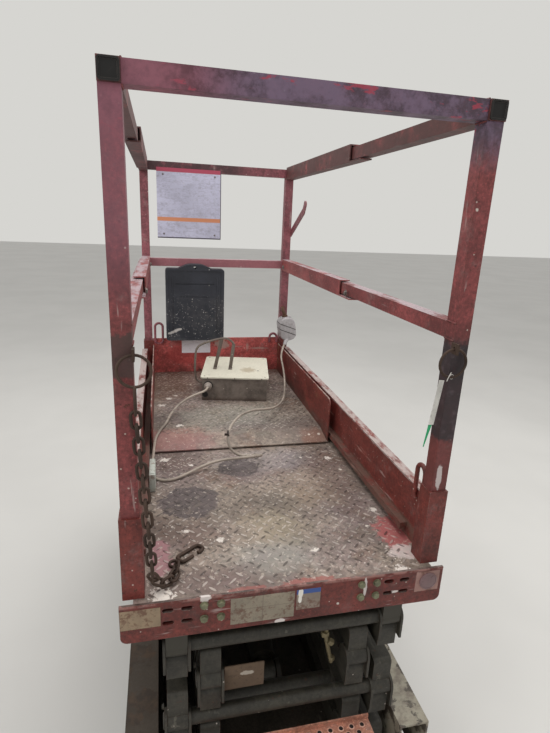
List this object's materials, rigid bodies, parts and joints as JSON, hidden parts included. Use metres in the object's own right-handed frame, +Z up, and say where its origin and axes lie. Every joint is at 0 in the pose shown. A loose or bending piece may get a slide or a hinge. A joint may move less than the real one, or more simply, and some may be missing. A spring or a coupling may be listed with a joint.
{
  "type": "slab scissor lift",
  "caption": "Compact electric scissor lift with a railed platform, sliding extension deck, folding arm stack and steered front wheels.",
  "frame": {"origin": "on the floor under the middle of the machine", "axes": "+X to the right, +Y forward to the steered wheels, +Z up"},
  "size_m": [0.81, 1.78, 2.054],
  "materials": {
    "red": "worn semi-gloss paint",
    "rail_red": "scuffed paint",
    "arm_grey": "dirty matt paint",
    "deck_grey": "worn tread plate",
    "step_orange": "worn orange-red paint",
    "base_grey": "peeling paint",
    "tyre": "solid rubber",
    "rim": "white paint",
    "steel": "bare steel",
    "rod": "hard chrome",
    "plate": "white sheet",
    "dark_box": "dark moulded plastic",
    "control": "cream moulded plastic",
    "grey_box": "light grey plastic",
    "cord": "grey sheath",
    "chain": "rusty steel",
    "battery": "black case"
  },
  "bodies": {
    "base": {"chassis": "base_grey", "base_tracks": "arm_grey", "side_ledges": "base_grey", "entry_ladder": "step_orange", "rear_axle": "arm_grey", "pothole_guards": "arm_grey"},
    "tray_left": {"tray_left": "red", "battery_pack": "battery"},
    "tray_right": {"tray_right": "red", "hydraulic_unit": "steel"},
    "knuckle_left": {"knuckle_left": "arm_grey"},
    "knuckle_right": {"knuckle_right": "arm_grey"},
    "tie_rod": {"tie_rod": "steel"},
    "wheel_front_left": {"tyre_front_left": "tyre", "rim_front_left": "rim"},
    "wheel_front_right": {"tyre_front_right": "tyre", "rim_front_right": "rim"},
    "wheel_rear_left": {"tyre_rear_left": "tyre", "rim_rear_left": "rim"},
    "wheel_rear_right": {"tyre_rear_right": "tyre", "rim_rear_right": "rim"},
    "arm_1_outer": {"arm_1_outer": "arm_grey"},
    "arm_1_inner": {"arm_1_inner": "arm_grey"},
    "arm_2_outer": {"arm_2_outer": "arm_grey"},
    "arm_2_inner": {"arm_2_inner": "arm_grey"},
    "arm_3_outer": {"arm_3_outer": "arm_grey"},
    "arm_3_inner": {"arm_3_inner": "arm_grey"},
    "arm_4_outer": {"arm_4_outer": "arm_grey"},
    "arm_4_inner": {"arm_4_inner": "arm_grey"},
    "lift_barrel": {"lift_barrel": "arm_grey"},
    "lift_rod": {"lift_rod": "rod"},
    "platform": {"main_deck": "deck_grey", "deck_tracks": "arm_grey", "rear_plate": "red", "side_boards": "red", "entry_frame": "rail_red", "entry_sockets": "red", "post_rings": "steel", "anchor_loops": "steel", "main_rail_left": "rail_red", "main_rail_right": "rail_red", "entry_chain": "chain"},
    "extension": {"extension_deck": "deck_grey", "extension_boards": "red", "front_board": "red", "front_loops": "red", "front_frame": "rail_red", "front_sockets": "red", "sleeve_rail_left": "rail_red", "sleeve_rail_right": "rail_red", "placard": "plate", "manual_box": "dark_box", "slide_handle": "red", "outlet": "grey_box", "control_box": "control", "control_guard": "dark_box", "control_gland": "grey_box", "control_cord": "cord", "cord_connector": "plate"}
  },
  "joints": [
    {"name": "lift", "type": "hinge", "parent": "base", "child": "arm_1_outer", "pos_m": [0, -0.78, 0.366], "axis": [1, 0, 0], "range_deg": [0, 57]},
    {"name": "scissor_1", "type": "hinge", "parent": "arm_1_outer", "child": "arm_1_inner", "pos_m": [0, -0.03229, 0.4245], "axis": [1, 0, 0], "range_deg": [-114, 0]},
    {"name": "rear_pins_1", "type": "hinge", "parent": "arm_1_inner", "child": "arm_2_inner", "pos_m": [0, -0.78, 0.483], "axis": [1, 0, 0], "range_deg": [0, 114]},
    {"name": "scissor_2", "type": "hinge", "parent": "arm_2_inner", "child": "arm_2_outer", "pos_m": [0, -0.03229, 0.5415], "axis": [1, 0, 0], "range_deg": [-114, 0]},
    {"name": "rear_pins_2", "type": "hinge", "parent": "arm_2_outer", "child": "arm_3_outer", "pos_m": [0, -0.78, 0.6], "axis": [1, 0, 0], "range_deg": [0, 114]},
    {"name": "scissor_3", "type": "hinge", "parent": "arm_3_outer", "child": "arm_3_inner", "pos_m": [0, -0.03229, 0.6585], "axis": [1, 0, 0], "range_deg": [-114, 0]},
    {"name": "rear_pins_3", "type": "hinge", "parent": "arm_3_inner", "child": "arm_4_inner", "pos_m": [0, -0.78, 0.717], "axis": [1, 0, 0], "range_deg": [0, 114]},
    {"name": "scissor_4", "type": "hinge", "parent": "arm_4_inner", "child": "arm_4_outer", "pos_m": [0, -0.03229, 0.7755], "axis": [1, 0, 0], "range_deg": [-114, 0]},
    {"name": "platform_pins", "type": "hinge", "parent": "arm_4_outer", "child": "platform", "pos_m": [0, -0.78, 0.834], "axis": [1, 0, 0], "range_deg": [0, 57]},
    {"name": "cylinder_foot", "type": "hinge", "parent": "arm_1_inner", "child": "lift_barrel", "pos_m": [0, -0.57064, 0.46662], "axis": [1, 0, 0], "range_deg": [0, 122]},
    {"name": "cylinder_stroke", "type": "slide", "parent": "lift_barrel", "child": "lift_rod", "axis": [0, 0.9932, 0.1166], "range_m": [0, 0.4796]},
    {"name": "extension_slide", "type": "slide", "parent": "platform", "child": "extension", "axis": [0, 1, 0], "range_m": [0, 0.9]},
    {"name": "steer_left", "type": "hinge", "parent": "base", "child": "knuckle_left", "pos_m": [-0.245, 0.69, 0], "axis": [0, 0, 1], "range_deg": [-60, 60]},
    {"name": "steer_right", "type": "hinge", "parent": "base", "child": "knuckle_right", "pos_m": [0.245, 0.69, 0], "axis": [0, 0, 1], "range_deg": [-60, 60]},
    {"name": "tie_rod_pin", "type": "hinge", "parent": "knuckle_left", "child": "tie_rod", "pos_m": [-0.245, 0.605, 0.11], "axis": [0, 0, 1], "range_deg": [-60, 60]},
    {"name": "wheel_front_left", "type": "hinge", "parent": "knuckle_left", "child": "wheel_front_left", "pos_m": [-0.345, 0.69, 0.159], "axis": [1, 0, 0], "continuous": true},
    {"name": "wheel_rear_left", "type": "hinge", "parent": "base", "child": "wheel_rear_left", "pos_m": [-0.345, -0.615, 0.159], "axis": [1, 0, 0], "continuous": true},
    {"name": "tray_left", "type": "hinge", "parent": "base", "child": "tray_left", "pos_m": [-0.397, -0.445, 0], "axis": [0, 0, 1], "range_deg": [0, 85]},
    {"name": "wheel_front_right", "type": "hinge", "parent": "knuckle_right", "child": "wheel_front_right", "pos_m": [0.345, 0.69, 0.159], "axis": [1, 0, 0], "continuous": true},
    {"name": "wheel_rear_right", "type": "hinge", "parent": "base", "child": "wheel_rear_right", "pos_m": [0.345, -0.615, 0.159], "axis": [1, 0, 0], "continuous": true},
    {"name": "tray_right", "type": "hinge", "parent": "base", "child": "tray_right", "pos_m": [0.397, -0.445, 0], "axis": [0, 0, -1], "range_deg": [0, 85]}
  ],
  "couplings": [
    {"joint": "scissor_1", "follows": "lift", "ratio": -2},
    {"joint": "rear_pins_1", "follows": "lift", "ratio": 2},
    {"joint": "scissor_2", "follows": "lift", "ratio": -2},
    {"joint": "rear_pins_2", "follows": "lift", "ratio": 2},
    {"joint": "scissor_3", "follows": "lift", "ratio": -2},
    {"joint": "rear_pins_3", "follows": "lift", "ratio": 2},
    {"joint": "scissor_4", "follows": "lift", "ratio": -2},
    {"joint": "platform_pins", "follows": "lift", "ratio": 1},
    {"joint": "cylinder_foot", "follows": "lift", "ratio": 2.1121},
    {"joint": "cylinder_stroke", "follows": "lift", "m_per_rad": 0.48003},
    {"joint": "steer_right", "follows": "steer_left", "ratio": 1},
    {"joint": "tie_rod_pin", "follows": "steer_left", "ratio": -1}
  ]
}
